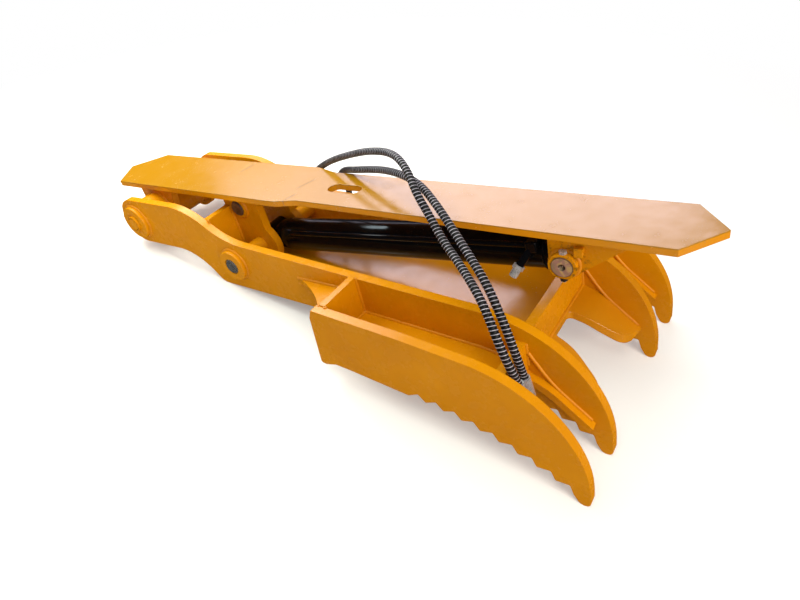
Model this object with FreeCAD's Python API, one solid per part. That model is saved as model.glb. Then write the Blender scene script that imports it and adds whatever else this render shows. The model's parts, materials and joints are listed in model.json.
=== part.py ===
import FreeCAD, Part
import math
import os

from FreeCAD import Base

# Sizes in millimetres. The plate frame has its origin at the tip of the base plate's head:
# X runs along the plate, Y to the far side, Z is up from the plate's weld face.

# Base plate
plate_length = 1600.0
plate_thick = 14.0
head_half_width = 87.5
tail_half_width = 70.0
head_point = 65.0
tail_point = 57.0
shoulder_start = 690.0
shoulder_end = 749.0
shoulder_round = 90.0
slot_centre_x = 838.0
slot_length = 90.0
slot_width = 36.0

# Main pivot, between the base plate and the thumb
pivot_x = 190.0
pivot_drop = 78.0
ear_reach_x = 275.0
ear_radius = 61.0
ear_thick = 18.0
ear_outer_y = 72.0
hub_radius = 47.0
hub_bore_radius = 29.0
hub_half_length = 130.0
bush_length = 46.0
bush_flange_radius = 38.0
main_pin_radius = 22.5
main_pin_proud = 6.0
pin_groove_depth = 3.0
pin_groove_reach = 2.5

# Rear pivot, at the base of the cylinder
rear_x = 1359.0
rear_drop = 70.0
rear_ear_radius = 30.0
rear_ear_reach_x = 1478.0
rear_ear_inner_y = 35.0
rear_ear_thick = 16.0
rear_collar_radius = 26.0
rear_collar_thick = 14.0
rear_pin_radius = 20.0
pin_end_proud = 2.0
pin_centre_radius = 7.0
pin_centre_depth = 5.0
keeper_radius = 4.0
keeper_head_across = 13.0
keeper_head_height = 5.3
keeper_nut_height = 6.8
keeper_thread_proud = 3.0
keeper_flat_depth = 1.5
stop_block_size = (15.0, 10.0, 18.0)
stop_block_drop = 17.0

# Thumb side plates and tines
side_inner_y = 133.0
side_thick = 20.0
side_end_radius = 64.0
neck_x = 426.0
neck_round = 215.0
neck_foot_x = 541.0
neck_foot_z = -93.0
neck_foot_round = 215.0
spine_fall = 0.0614
belly_x = 470.0
belly_z = -224.0
heel_x = 405.0
heel_round = 150.0
throat_x = 790.0
throat_z = -232.0
throat_round = 300.0
corner_radius = 32.0
tine_inner_y = 255.0
tine_thick = 20.0
tine_start_x = 925.0
tine_heel_x = 901.0
tine_heel_z = -262.0
tine_heel_step = 14.0
tine_heel_rise = 6.0
tine_heel_run = 42.0
tine_belly_x = 980.0
tine_belly_z = -259.0
tine_end_slope = 21.0
outer_spine_start = 100.0
outer_spine_dip = 2.0
outer_spine_drop = 10.0
back_radius = 250.0
back_x = 1476.0
tip_z = -457.0
tip_radius = 12.0

# Teeth along the inside of every tine
teeth_count = 10
teeth_centre_x = 1047.0
teeth_top_z = -273.0
teeth_crest_radius = 696.0
teeth_depth = 15.0
teeth_pitch = 38.75
first_tooth_run = 75.3
tooth_back_share = 0.57
tooth_rounding = 3.5

# Floor plates, cross plates and webs of the thumb
floor_z = -205.0
floor_thick = 16.0
floor_bend_x = 948.0
floor_bend_round = 400.0
floor_knee_x = 1250.0
floor_knee_z = -223.0
floor_knee_round = 200.0
floor_toe_x = 1365.0
floor_toe_z = -270.0
floor_toe_round = 120.0
floor_end_x = 1445.0
floor_end_z = -342.0
cross_x = 1302.0
cross_thick = 19.0
cross_top_centre_z = -173.0
cross_top_outer_z = -182.0
box_cross_x = 931.0
box_cross_thick = 16.0
box_cross_top_z = -115.0
strip_width = 17.0
notch_set_back = 2.0
notch_half_width = 39.0
notch_waist_x = 1360.0
notch_waist_half = 43.0
notch_flare_x = 1424.0
notch_flare_half = 72.0
notch_mouth_x = 1441.0
notch_mouth_half = 118.0
notch_round = 14.0
gusset_start_x = 764.0
gusset_top_z = -152.0
gusset_thick = 16.0
gusset_bow = 10.0
web_x = 467.0
web_thick = 18.0
web_top_z = -48.0

# Lugs, collars and the pin at the rod end
link_x = 550.0
link_z = -154.0
link_pin_radius = 21.0
link_pin_chamfer = 4.5
main_collar_radius = 46.0
link_collar_radius = 41.0
collar_thick = 13.0
lug_inner_y = 38.0
lug_thick = 20.0
lug_eye_radius = 58.0
lug_past_pin = 37.0
lug_corner_round = 12.0
lug_top_z = -20.0
lock_x = 520.0
lock_z = -50.0
lock_boss_radius = 26.0
lock_boss_proud = 6.0
lock_plug_radius = 20.0
lock_plug_proud = 4.0
edge_break = 3.0

# Cylinder, measured along its axis from the rod-end pin
tube_radius = 40.65
tube_bore_radius = 35.0
tube_start = 68.0
base_eye_setback = 45.35
gland_face = 45.0
gland_nose_radius = 37.5
gland_depth = 60.0
gland_wall = 6.5
spanner_slot_width = 6.0
spanner_slot_depth = 4.0
cap_thick = 14.0
cap_spigot = 13.0
eye_neck_share = 0.85
neck_clearance = 8.0
cylinder_eye_radius = 31.0
cylinder_eye_half_width = 33.0
eye_bush_wall = 5.0
rod_radius = 22.5
rod_thread_radius = 18.0
piston_length = 45.0
piston_back_gap = 40.0
seal_width = 9.0
seal_depth = 5.0
rod_nut_across = 55.0
rod_nut_height = 24.0
line_radius = 6.0
line_stand_off = 49.0
line_turn = 56.5
rod_port_setback = 32.0
line_end_setback = 26.0
rod_port_radius = 9.0
rod_port_proud = 1.0
base_port_radius = 12.0
port_seat = 2.0
port_block_side = 22.0
port_stem_radius = 8.0
port_stem_length = 44.0
port_stem_lean = (-0.52, -0.43, -0.735)
adapter_radius = 8.0
adapter_across = 19.0
adapter_nut_height = 9.0
adapter_nose_length = 16.0
base_port_turn = 240.0
base_port_setback = 34.0
base_port_reach = 9.0

# Hoses
hose_radius = 8.0
ferrule_radius = 10.5
ferrule_length = 34.0
fitting_across = 19.0
fitting_length = 16.0
fitting_seat_radius = 6.0
fitting_seat_depth = 14.0
ferrule_grip_share = 0.6

# Fits and clearances
running_fit = 0.05
side_clearance = 0.3
drawing_gap = 0.01

# Places that follow from the sizes above
main_pivot = (pivot_x, -pivot_drop)
rear_pivot = (rear_x, -rear_drop)
link_pivot = (link_x, link_z)
lug_right_x = link_x + lug_past_pin
ear_inner_y = ear_outer_y - ear_thick
rear_ear_outer_y = rear_ear_inner_y + rear_ear_thick
side_outer_y = side_inner_y + side_thick
tine_outer_y = tine_inner_y + tine_thick
lug_outer_y = lug_inner_y + lug_thick
collar_face_y = side_outer_y + collar_thick
pivot_span = math.dist(link_pivot, rear_pivot)
tube_end = pivot_span - base_eye_setback
piston_face = tube_end - piston_back_gap
gland_end = tube_start + gland_depth
line_start = tube_start + rod_port_setback
line_end = tube_end - line_end_setback
teeth_centre_z = teeth_top_z - teeth_crest_radius
cylinder_tilt = math.atan2(rear_pivot[1] - link_pivot[1], rear_pivot[0] - link_pivot[0])


# Drawing helpers

def corner_arc(before, corner, after, radius):
    """Tangent points, middle point and centre of the arc that rounds a corner."""
    start = Base.Vector(before[0], 0, before[1])
    middle = Base.Vector(corner[0], 0, corner[1])
    end = Base.Vector(after[0], 0, after[1])
    towards_start = (start - middle).normalize()
    towards_end = (end - middle).normalize()
    half_angle = towards_start.getAngle(towards_end) / 2
    reach = radius / math.tan(half_angle)
    bisector = (towards_start + towards_end).normalize()
    centre = middle + bisector * (radius / math.sin(half_angle))
    return middle + towards_start * reach, centre - bisector * radius, middle + towards_end * reach, centre


def outline(points):
    """Closed wire in the XZ plane. A third number in a point rounds that corner."""
    edges = []
    joints = []
    for index, point in enumerate(points):
        if len(point) == 3:
            arc = corner_arc(points[index - 1], point, points[(index + 1) % len(points)], point[2])
            edges.append(Part.Arc(arc[0], arc[1], arc[2]).toShape())
            joints.append((arc[0], arc[2]))
        else:
            place = Base.Vector(point[0], 0, point[1])
            joints.append((place, place))
    for index, joint in enumerate(joints):
        after = joints[(index + 1) % len(joints)]
        if joint[1].distanceToPoint(after[0]) > 1e-4:
            edges.append(Part.makeLine(joint[1], after[0]))
    return Part.Wire(Part.__sortEdges__(edges))


def plate(points, near_y, far_y):
    """Plate cut to an XZ outline, between two Y planes."""
    sheet = Part.Face(outline(points))
    sheet.translate(Base.Vector(0, near_y, 0))
    return sheet.extrude(Base.Vector(0, far_y - near_y, 0))


def plan_plate(points, low_z, high_z):
    """Plate cut to an XY outline, between two heights."""
    sheet = Part.Face(outline(points))
    sheet.rotate(Base.Vector(), Base.Vector(1, 0, 0), -90)
    sheet.translate(Base.Vector(0, 0, low_z))
    return sheet.extrude(Base.Vector(0, 0, high_z - low_z))


def block(x_span, y_span, z_span):
    corner = Base.Vector(x_span[0], y_span[0], z_span[0])
    return Part.makeBox(x_span[1] - x_span[0], y_span[1] - y_span[0], z_span[1] - z_span[0], corner)


def cross_rod(centre, radius, near_y, far_y):
    """Round bar across the thumb, along Y, about a pivot."""
    start = Base.Vector(centre[0], near_y, centre[1])
    return Part.makeCylinder(radius, far_y - near_y, start, Base.Vector(0, 1, 0))


def ring(centre, outer, inner, near_y, far_y):
    return cross_rod(centre, outer, near_y, far_y).cut(cross_rod(centre, inner, near_y - 1, far_y + 1))


def hexagon(across, height, start, direction):
    """Hexagonal bar, sized by its width across flats."""
    corners = [Base.Vector(across / math.sqrt(3) * math.cos(math.radians(60 * turn)),
                           across / math.sqrt(3) * math.sin(math.radians(60 * turn)), 0)
               for turn in range(7)]
    bar = Part.Face(Part.makePolygon(corners)).extrude(Base.Vector(0, 0, height))
    bar.Placement = Base.Placement(start, Base.Rotation(Base.Vector(0, 0, 1), direction))
    return bar


def band(points, thickness):
    """Bent plate: an upper line with bend radii, and the same line one thickness below."""
    lower = []
    for index, point in enumerate(points):
        before = points[max(index - 1, 0)]
        after = points[min(index + 1, len(points) - 1)]
        slope_in = math.atan2(point[1] - before[1], point[0] - before[0])
        slope_out = math.atan2(after[1] - point[1], after[0] - point[0])
        if index == 0:
            slope_in = slope_out
        if index == len(points) - 1:
            slope_out = slope_in
        middle = (slope_in + slope_out) / 2
        reach = thickness / math.cos((slope_out - slope_in) / 2)
        moved = (point[0] + reach * math.sin(middle), point[1] - reach * math.cos(middle))
        lower.append(moved + ((point[2] - thickness,) if len(point) == 3 else ()))
    return list(points) + lower[::-1]


def tangent_from(point, centre, radius, side):
    """Where a line from a point touches a circle; side is 1 or -1."""
    distance = math.dist(point, centre)
    towards = math.atan2(point[1] - centre[1], point[0] - centre[0])
    angle = towards + side * math.acos(radius / distance)
    return centre[0] + radius * math.cos(angle), centre[1] + radius * math.sin(angle)


def hanging_ear(centre, radius, reach_x, near_y, far_y, bore_radius):
    """Ear under the base plate: upright front edge, sloping back edge, round end with a bore."""
    top_right = (reach_x, -plate_thick)
    touch = tangent_from(top_right, centre, radius, -1)
    left = centre[0] - radius
    right_angle = math.atan2(touch[1] - centre[1], touch[0] - centre[0])
    bottom_mid_angle = (right_angle - math.pi) / 2
    mid = Base.Vector(centre[0] + radius * math.cos(bottom_mid_angle), 0,
                      centre[1] + radius * math.sin(bottom_mid_angle))
    corners = [Base.Vector(left, 0, -plate_thick), Base.Vector(reach_x, 0, -plate_thick),
               Base.Vector(touch[0], 0, touch[1])]
    end = Base.Vector(left, 0, centre[1])
    edges = [Part.makeLine(corners[0], corners[1]), Part.makeLine(corners[1], corners[2]),
             Part.Arc(corners[2], mid, end).toShape(), Part.makeLine(end, corners[0])]
    sheet = Part.Face(Part.Wire(edges))
    sheet.translate(Base.Vector(0, near_y, 0))
    ear = sheet.extrude(Base.Vector(0, far_y - near_y, 0))
    return ear.cut(cross_rod(centre, bore_radius, near_y - 1, far_y + 1))


def mirrored(shape):
    return shape.mirror(Base.Vector(), Base.Vector(0, 1, 0))


pieces = {}


def add_pair(name, near_shape):
    """A piece on the near side and its mirror image on the far side."""
    pieces[name + "_near"] = near_shape
    pieces[name + "_far"] = mirrored(near_shape)


def add_both(name, near_shape):
    """Two identical small pieces, one on each side, kept together under one name."""
    pieces[name] = Part.makeCompound([near_shape, mirrored(near_shape)])


# Base plate with its ears, hub and rear pivot

def base_plate():
    edge = [(head_point, head_half_width), (shoulder_start, head_half_width, shoulder_round),
            (shoulder_end, tail_half_width, shoulder_round), (plate_length - tail_point, tail_half_width)]
    near_edge = [(point[0], -point[1]) + point[2:] for point in edge]
    spread = [(0, 0)] + near_edge + [(plate_length, 0)] + edge[::-1]
    slot_half = slot_length / 2
    slot_round = slot_width / 2 - drawing_gap
    slot = []
    for end, side in ((-1, -1), (1, -1), (1, 1), (-1, 1)):
        slot.append((slot_centre_x + end * slot_half, side * slot_width / 2, slot_round))
    return plan_plate(spread, -plate_thick, 0).cut(plan_plate(slot, -plate_thick - 1, 1))


def hub_bush():
    shell = ring(main_pivot, hub_bore_radius, main_pin_radius + running_fit,
                 -hub_half_length, bush_length - hub_half_length)
    flange = ring(main_pivot, bush_flange_radius, main_pin_radius + running_fit,
                  side_clearance - side_inner_y, -hub_half_length)
    return shell.fuse(flange).removeSplitter()


def pin_centre(centre, start):
    """Lathe centre in the near end of a pin."""
    return Part.makeCone(pin_centre_radius, pin_centre_radius - pin_centre_depth, pin_centre_depth,
                         Base.Vector(centre[0], start, centre[1]), Base.Vector(0, 1, 0))


def rear_pin():
    half = rear_ear_outer_y + rear_collar_thick + pin_end_proud
    pin = cross_rod(rear_pivot, rear_pin_radius, -half, half)
    return pin.cut(pin_centre(rear_pivot, -half)).cut(keeper_hole())


def keeper_y():
    return -(rear_ear_outer_y + rear_collar_thick / 2)


def keeper_hole():
    start = Base.Vector(rear_x, keeper_y(), -rear_drop - 2 * rear_collar_radius)
    return Part.makeCylinder(keeper_radius + running_fit, 4 * rear_collar_radius, start)


def keeper_seat(top):
    """Flat spot on the collar under the keeper bolt's head or nut."""
    flat = rear_collar_radius - keeper_flat_depth
    low = -rear_drop + flat if top else -rear_drop - 2 * rear_collar_radius
    high = low + 2 * rear_collar_radius - flat if top else -rear_drop - flat
    return block((rear_x - keeper_head_across, rear_x + keeper_head_across),
                 (keeper_y() - rear_collar_thick, -rear_ear_outer_y), (low, high))


def keeper_bolt():
    seat = rear_collar_radius - keeper_flat_depth
    thread_end = seat + keeper_nut_height + keeper_thread_proud
    shank = Part.makeCylinder(keeper_radius, seat + thread_end,
                              Base.Vector(rear_x, keeper_y(), -rear_drop - thread_end))
    head = hexagon(keeper_head_across, keeper_head_height,
                   Base.Vector(rear_x, keeper_y(), -rear_drop + seat), Base.Vector(0, 0, 1))
    return shank.fuse(head)


def keeper_nut():
    seat = rear_collar_radius - keeper_flat_depth
    start = Base.Vector(rear_x, keeper_y(), -rear_drop - seat - keeper_nut_height)
    nut = hexagon(keeper_head_across, keeper_nut_height, start, Base.Vector(0, 0, 1))
    return nut.cut(Part.makeCylinder(keeper_radius, keeper_nut_height, start))


pieces["base_plate"] = base_plate()
add_pair("front_ear", hanging_ear(main_pivot, ear_radius, ear_reach_x, -ear_outer_y, -ear_inner_y, hub_radius))
pieces["hub_tube"] = ring(main_pivot, hub_radius, hub_bore_radius, -hub_half_length, hub_half_length)
add_both("hub_bushes", hub_bush())
add_pair("rear_ear", hanging_ear(rear_pivot, rear_ear_radius, rear_ear_reach_x,
                                 -rear_ear_outer_y, -rear_ear_inner_y, rear_pin_radius + running_fit))
rear_collar = ring(rear_pivot, rear_collar_radius, rear_pin_radius + running_fit,
                   -rear_ear_outer_y - rear_collar_thick, -rear_ear_outer_y)
pieces["rear_collar_near"] = rear_collar.cut(keeper_seat(True)).cut(keeper_seat(False)).cut(keeper_hole())
pieces["rear_collar_far"] = mirrored(rear_collar)
pieces["rear_pin"] = rear_pin()
pieces["keeper_bolt"] = keeper_bolt()
pieces["keeper_nut"] = keeper_nut()
pieces["pin_stop_block"] = block((rear_x + rear_pin_radius, rear_x + rear_pin_radius + stop_block_size[0]),
                                 (-rear_ear_outer_y - stop_block_size[1], -rear_ear_outer_y),
                                 (-plate_thick - stop_block_drop - stop_block_size[2],
                                  -plate_thick - stop_block_drop))


# Thumb side plates and tines

def tooth_line():
    """Crests and notches from the throat to the tip, on two circles about one centre."""
    line = []
    for tooth in range(teeth_count):
        crest = first_tooth_run + tooth * teeth_pitch
        notch = crest + teeth_pitch * tooth_back_share
        for run, radius in ((crest, teeth_crest_radius), (notch, teeth_crest_radius + teeth_depth)):
            angle = math.pi / 2 - run / teeth_crest_radius
            line.append((teeth_centre_x + radius * math.cos(angle),
                         teeth_centre_z + radius * math.sin(angle), tooth_rounding))
    return line[:-1]


def spine_z(x):
    return neck_foot_z - spine_fall * (x - neck_foot_x)


def tip_points():
    return [(back_x, tip_z, tip_radius)] + tooth_line()[::-1]


def side_plate():
    left = pivot_x - side_end_radius
    top = -pivot_drop + side_end_radius
    low = -pivot_drop - side_end_radius
    points = [(left, top, side_end_radius), (neck_x, top, neck_round),
              (neck_foot_x, neck_foot_z, neck_foot_round), (back_x, spine_z(back_x), back_radius)]
    points += tip_points()
    points += [(throat_x, throat_z, throat_round), (belly_x, belly_z, corner_radius), (heel_x, low, heel_round),
               (left, low, side_end_radius - drawing_gap)]
    sheet = plate(points, -side_outer_y, -side_inner_y)
    for centre, radius in ((main_pivot, main_pin_radius), (link_pivot, link_pin_radius)):
        sheet = sheet.cut(cross_rod(centre, radius + running_fit, -side_outer_y - 1, -side_inner_y + 1))
    return sheet


def outer_tine():
    spine_bend_x = back_x - back_radius - outer_spine_start
    points = [(tine_start_x, spine_z(tine_start_x)),
              (spine_bend_x, spine_z(spine_bend_x) - outer_spine_dip, floor_bend_round),
              (back_x, spine_z(back_x) - 2 * outer_spine_drop, back_radius - outer_spine_drop)]
    points += tip_points()
    points += [(tine_belly_x, tine_belly_z, floor_knee_round),
               (tine_heel_x + tine_heel_run, tine_heel_z + tine_heel_rise),
               (tine_heel_x + tine_heel_step, tine_heel_z - outer_spine_dip),
               (tine_heel_x, tine_heel_z, tine_heel_rise),
               (tine_start_x - outer_spine_drop, spine_z(tine_start_x) - tine_end_slope)]
    return plate(points, -tine_outer_y, -tine_inner_y)


add_pair("side_plate", side_plate())
add_pair("outer_tine", outer_tine())


# Floor, cross plates and webs

def floor_line(start_x):
    line = [(floor_bend_x, floor_z, floor_bend_round), (floor_knee_x, floor_knee_z, floor_knee_round),
            (floor_toe_x, floor_toe_z, floor_toe_round), (floor_end_x, floor_end_z)]
    if start_x < floor_bend_x:
        return [(start_x, floor_z)] + line
    return [(start_x, floor_z)] + line[1:]


def deck_plate():
    deck = plate(band(floor_line(web_x + web_thick), floor_thick), -side_inner_y, side_inner_y)
    edge = [(cross_x + cross_thick + notch_set_back, notch_half_width, notch_round),
            (notch_waist_x, notch_waist_half, floor_knee_round),
            (notch_flare_x, notch_flare_half, 3 * notch_round),
            (notch_mouth_x, notch_mouth_half, notch_round),
            (floor_end_x + floor_thick, side_inner_y - notch_set_back)]
    notch = [(point[0], -point[1]) + point[2:] for point in edge] + edge[::-1]
    return deck.cut(plan_plate(notch, floor_end_z - 3 * floor_thick, floor_z + floor_thick))


def box_floor():
    start = box_cross_x + box_cross_thick
    floor = plate(band(floor_line(start), floor_thick), -tine_inner_y, -side_outer_y)
    floor = floor.cut(block((start - floor_thick, start), (-tine_inner_y, -side_outer_y),
                            (floor_end_z, floor_z + 1)))
    near = -tine_inner_y + strip_width
    far = -side_outer_y - strip_width
    left = cross_x + cross_thick + notch_set_back
    right = floor_end_x + floor_thick
    notch = [(left, near, notch_round), (right, near), (right, far), (left, far, notch_round)]
    return floor.cut(plan_plate(notch, floor_end_z - 3 * floor_thick, floor_z + floor_thick))


def above_floor(start_x, end_x, near_y, far_y, top_z):
    """Upright plate standing on the floor plate."""
    upright = block((start_x, end_x), (near_y, far_y), (floor_end_z, top_z))
    below = floor_end_z - cross_x
    under = floor_line(floor_bend_x) + [(floor_end_x, below), (belly_x, below), (belly_x, floor_z)]
    return upright.cut(plate(under, near_y - 1, far_y + 1))


def corner_gusset():
    long_edge = box_cross_x - gusset_start_x
    middle_x = gusset_start_x + (long_edge + gusset_bow) / 2
    middle_y = gusset_bow - (side_outer_y + tine_inner_y) / 2
    shape = [Base.Vector(gusset_start_x, -side_outer_y, 0),
             Base.Vector(middle_x, middle_y, 0),
             Base.Vector(box_cross_x - gusset_thick, -tine_inner_y, 0),
             Base.Vector(box_cross_x, -tine_inner_y, 0),
             Base.Vector(box_cross_x, -side_outer_y, 0)]
    edges = [Part.Arc(shape[0], shape[1], shape[2]).toShape()]
    for start, end in ((2, 3), (3, 4), (4, 0)):
        edges.append(Part.makeLine(shape[start], shape[end]))
    sheet = Part.Face(Part.Wire(edges))
    sheet.translate(Base.Vector(0, 0, gusset_top_z - gusset_thick))
    return sheet.extrude(Base.Vector(0, 0, gusset_thick))


pieces["deck_plate"] = deck_plate()
add_pair("box_floor", box_floor())
pieces["front_cross_plate"] = above_floor(cross_x, cross_x + cross_thick, -side_inner_y, side_inner_y,
                                          cross_top_centre_z)
add_pair("outer_cross_plate", above_floor(cross_x, cross_x + cross_thick, -tine_inner_y, -side_outer_y,
                                          cross_top_outer_z))
add_pair("box_cross_plate", block((box_cross_x, box_cross_x + box_cross_thick), (-tine_inner_y, -side_outer_y),
                                  (floor_z - floor_thick, box_cross_top_z)))
add_pair("corner_gusset", corner_gusset())


# Lugs and pins that carry the rod end

def lug():
    low = link_z - lug_eye_radius
    drop = math.sqrt(lug_eye_radius ** 2 - lug_past_pin ** 2)
    eye = cross_rod(link_pivot, lug_eye_radius, -lug_outer_y, -lug_inner_y)
    body = plate([(web_x, lug_top_z, lug_corner_round), (lug_right_x, lug_top_z, lug_corner_round),
                  (lug_right_x, link_z + drop), (link_x, link_z), (link_x, low), (web_x, low)],
                 -lug_outer_y, -lug_inner_y)
    boss = cross_rod((lock_x, lock_z), lock_boss_radius, -lug_outer_y - lock_boss_proud, -lug_outer_y)
    whole = body.fuse([eye, boss]).removeSplitter()
    for centre, radius in ((link_pivot, link_pin_radius), ((lock_x, lock_z), lock_plug_radius)):
        whole = whole.cut(cross_rod(centre, radius + running_fit, -lug_outer_y - 10, -lug_inner_y + 1))
    return whole.cut(block((web_x - 1, lug_right_x + lug_eye_radius), (-lug_outer_y - 1, -lug_inner_y + 1),
                           (low - lug_eye_radius, floor_z)))


def end_rims(shape, end_y, least_radius):
    """Round edges of at least a given radius in one end face of a pin or collar."""
    rims = []
    for edge in shape.Edges:
        if edge.Curve.TypeId == "Part::GeomCircle" and edge.Curve.Radius > least_radius:
            if abs(edge.CenterOfMass.y - end_y) < 0.1:
                rims.append(edge)
    return rims


def lock_plug():
    start = -lug_outer_y - lock_boss_proud - lock_plug_proud
    plug = cross_rod((lock_x, lock_z), lock_plug_radius, start, -lug_inner_y)
    return plug.makeChamfer(edge_break, end_rims(plug, start, lock_plug_radius - 1))


def weld_collar(centre, radius, pin_radius):
    collar = ring(centre, radius, pin_radius + running_fit, -collar_face_y, -side_outer_y)
    return collar.makeFillet(edge_break, end_rims(collar, -collar_face_y, pin_radius + 1))


def main_pin():
    half = collar_face_y + main_pin_proud
    pin = cross_rod(main_pivot, main_pin_radius, -half, half)
    for side in (-1, 1):
        groove = ring(main_pivot, main_pin_radius - pin_groove_depth, main_pin_radius - 2 * pin_groove_depth,
                      side * half - pin_groove_reach, side * half + pin_groove_reach)
        pin = pin.cut(groove)
    return pin


def link_pin():
    start = -collar_face_y - pin_end_proud
    pin = cross_rod(link_pivot, link_pin_radius, start, -lug_inner_y)
    pin = pin.makeChamfer(link_pin_chamfer, end_rims(pin, start, link_pin_radius - 1))
    return pin.cut(pin_centre(link_pivot, start))


add_pair("lug", lug())
add_both("lug_webs", block((web_x, web_x + web_thick), (-side_inner_y, -lug_outer_y),
                          (floor_z - floor_thick, web_top_z)))
add_both("lock_plugs", lock_plug())
add_both("main_collars", weld_collar(main_pivot, main_collar_radius, main_pin_radius))
add_both("link_collars", weld_collar(link_pivot, link_collar_radius, link_pin_radius))
pieces["main_pin"] = main_pin()
add_pair("link_pin", link_pin())


# Hydraulic cylinder, drawn along X from the rod-end pin and then turned onto its two pivots

def along(radius, start, end, inner=0.0):
    rod = Part.makeCylinder(radius, end - start, Base.Vector(start, 0, 0), Base.Vector(1, 0, 0))
    if inner:
        rod = rod.cut(along(inner, start - 1, end + 1))
    return rod


def gland():
    body = along(gland_nose_radius, gland_face, tube_start)
    body = body.fuse(along(tube_bore_radius, tube_start, gland_end))
    body = body.cut(along(rod_radius + running_fit, gland_face - 1, gland_end + 1))
    for groove_start in (gland_face, gland_end - gland_wall - seal_width):
        body = body.cut(along(rod_radius + seal_depth, groove_start, groove_start + seal_width))
    for turn in range(4):
        spot = block((gland_face - 1, gland_face + spanner_slot_depth),
                     (-spanner_slot_width / 2, spanner_slot_width / 2),
                     (gland_nose_radius - spanner_slot_depth, gland_nose_radius + 1))
        spot.rotate(Base.Vector(), Base.Vector(1, 0, 0), 45 + 90 * turn)
        body = body.cut(spot)
    return body.removeSplitter()


def gland_ring(start):
    return along(rod_radius + seal_depth, start, start + seal_width, rod_radius + running_fit)


def eye_boss(place):
    return cross_rod((place, 0), cylinder_eye_radius, -cylinder_eye_half_width, cylinder_eye_half_width)


def eye_bore(place, radius):
    return cross_rod((place, 0), radius, -cylinder_eye_half_width - 1, cylinder_eye_half_width + 1)


def base_cap():
    cap_end = tube_end + cap_thick
    disc = along(tube_radius, tube_end, cap_end)
    spigot = along(tube_bore_radius, tube_end - cap_spigot, tube_end)
    neck_half = cylinder_eye_radius * eye_neck_share
    neck = block((cap_end, pivot_span), (-cylinder_eye_half_width, cylinder_eye_half_width),
                 (-neck_half, neck_half))
    whole = disc.fuse([spigot, neck, eye_boss(pivot_span)]).removeSplitter()
    return whole.cut(eye_bore(pivot_span, rear_pin_radius + eye_bush_wall))


def radial(radius, inner, outer, place, angle):
    """Stub that stands out of the tube, at an angle about its axis from +Z towards -Y."""
    turn = math.radians(angle)
    direction = Base.Vector(0, -math.sin(turn), math.cos(turn))
    return Part.makeCylinder(radius, outer - inner, Base.Vector(place, 0, 0) + direction * inner, direction)


def rod_end_port():
    stub = radial(rod_port_radius, tube_radius - port_seat, line_stand_off + line_radius + rod_port_proud,
                  line_start, line_turn)
    return stub.cut(tube_outline())


line_side = math.radians(line_turn)
line_centre = (-line_stand_off * math.sin(line_side), line_stand_off * math.cos(line_side))


def hard_line():
    start = line_start + rod_port_radius
    return Part.makeCylinder(line_radius, line_end - start,
                             Base.Vector(start, line_centre[0], line_centre[1]), Base.Vector(1, 0, 0))


def tube_outline():
    return along(tube_radius, 0, pivot_span)


port_direction = Base.Vector(*port_stem_lean).normalize()
port_centre = Base.Vector(line_end + port_block_side / 2, line_centre[0], line_centre[1])


def port_block():
    half = port_block_side / 2
    body = Part.makeBox(port_block_side, port_block_side, port_block_side,
                        port_centre - Base.Vector(half, half, half))
    body = body.makeFillet(edge_break, body.Edges)
    stem = Part.makeCylinder(port_stem_radius, port_stem_length, port_centre, port_direction)
    return body.fuse(stem).cut(tube_outline()).cut(hard_line()).removeSplitter()


def adapter(seat, direction):
    """Hexagon and round nose that a hose's nut screws onto."""
    nut = hexagon(adapter_across, adapter_nut_height, seat, direction)
    nose = Part.makeCylinder(adapter_radius, adapter_nose_length,
                             seat + direction * adapter_nut_height, direction)
    return nut.fuse(nose).removeSplitter()


def port_adapter():
    return adapter(port_centre + port_direction * port_stem_length, port_direction)


def base_port():
    boss = radial(base_port_radius, tube_radius - port_seat, tube_radius + base_port_reach,
                  tube_end - base_port_setback, base_port_turn)
    return boss.cut(tube_outline())


def base_adapter():
    turn = math.radians(base_port_turn)
    direction = Base.Vector(0, -math.sin(turn), math.cos(turn))
    place = Base.Vector(tube_end - base_port_setback, 0, 0)
    return adapter(place + direction * (tube_radius + base_port_reach), direction)


def rod_eye():
    neck = along(rod_radius + edge_break, link_pin_radius, gland_face - neck_clearance)
    eye = eye_boss(0).fuse(neck).removeSplitter()
    return eye.cut(eye_bore(0, link_pin_radius + eye_bush_wall))


def rod():
    bar = along(rod_radius, gland_face - neck_clearance, piston_start)
    return bar.fuse(along(rod_thread_radius, piston_start, piston_face + rod_nut_height)).removeSplitter()


def piston():
    disc = along(tube_bore_radius - running_fit, piston_start, piston_face, rod_thread_radius)
    return disc.cut(along(tube_radius, seal_start, seal_start + seal_width, tube_bore_radius - seal_depth))


def rod_nut():
    nut = hexagon(rod_nut_across, rod_nut_height, Base.Vector(piston_face, 0, 0), Base.Vector(1, 0, 0))
    return nut.cut(along(rod_thread_radius, piston_face - 1, piston_face + rod_nut_height + 1))


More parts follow.
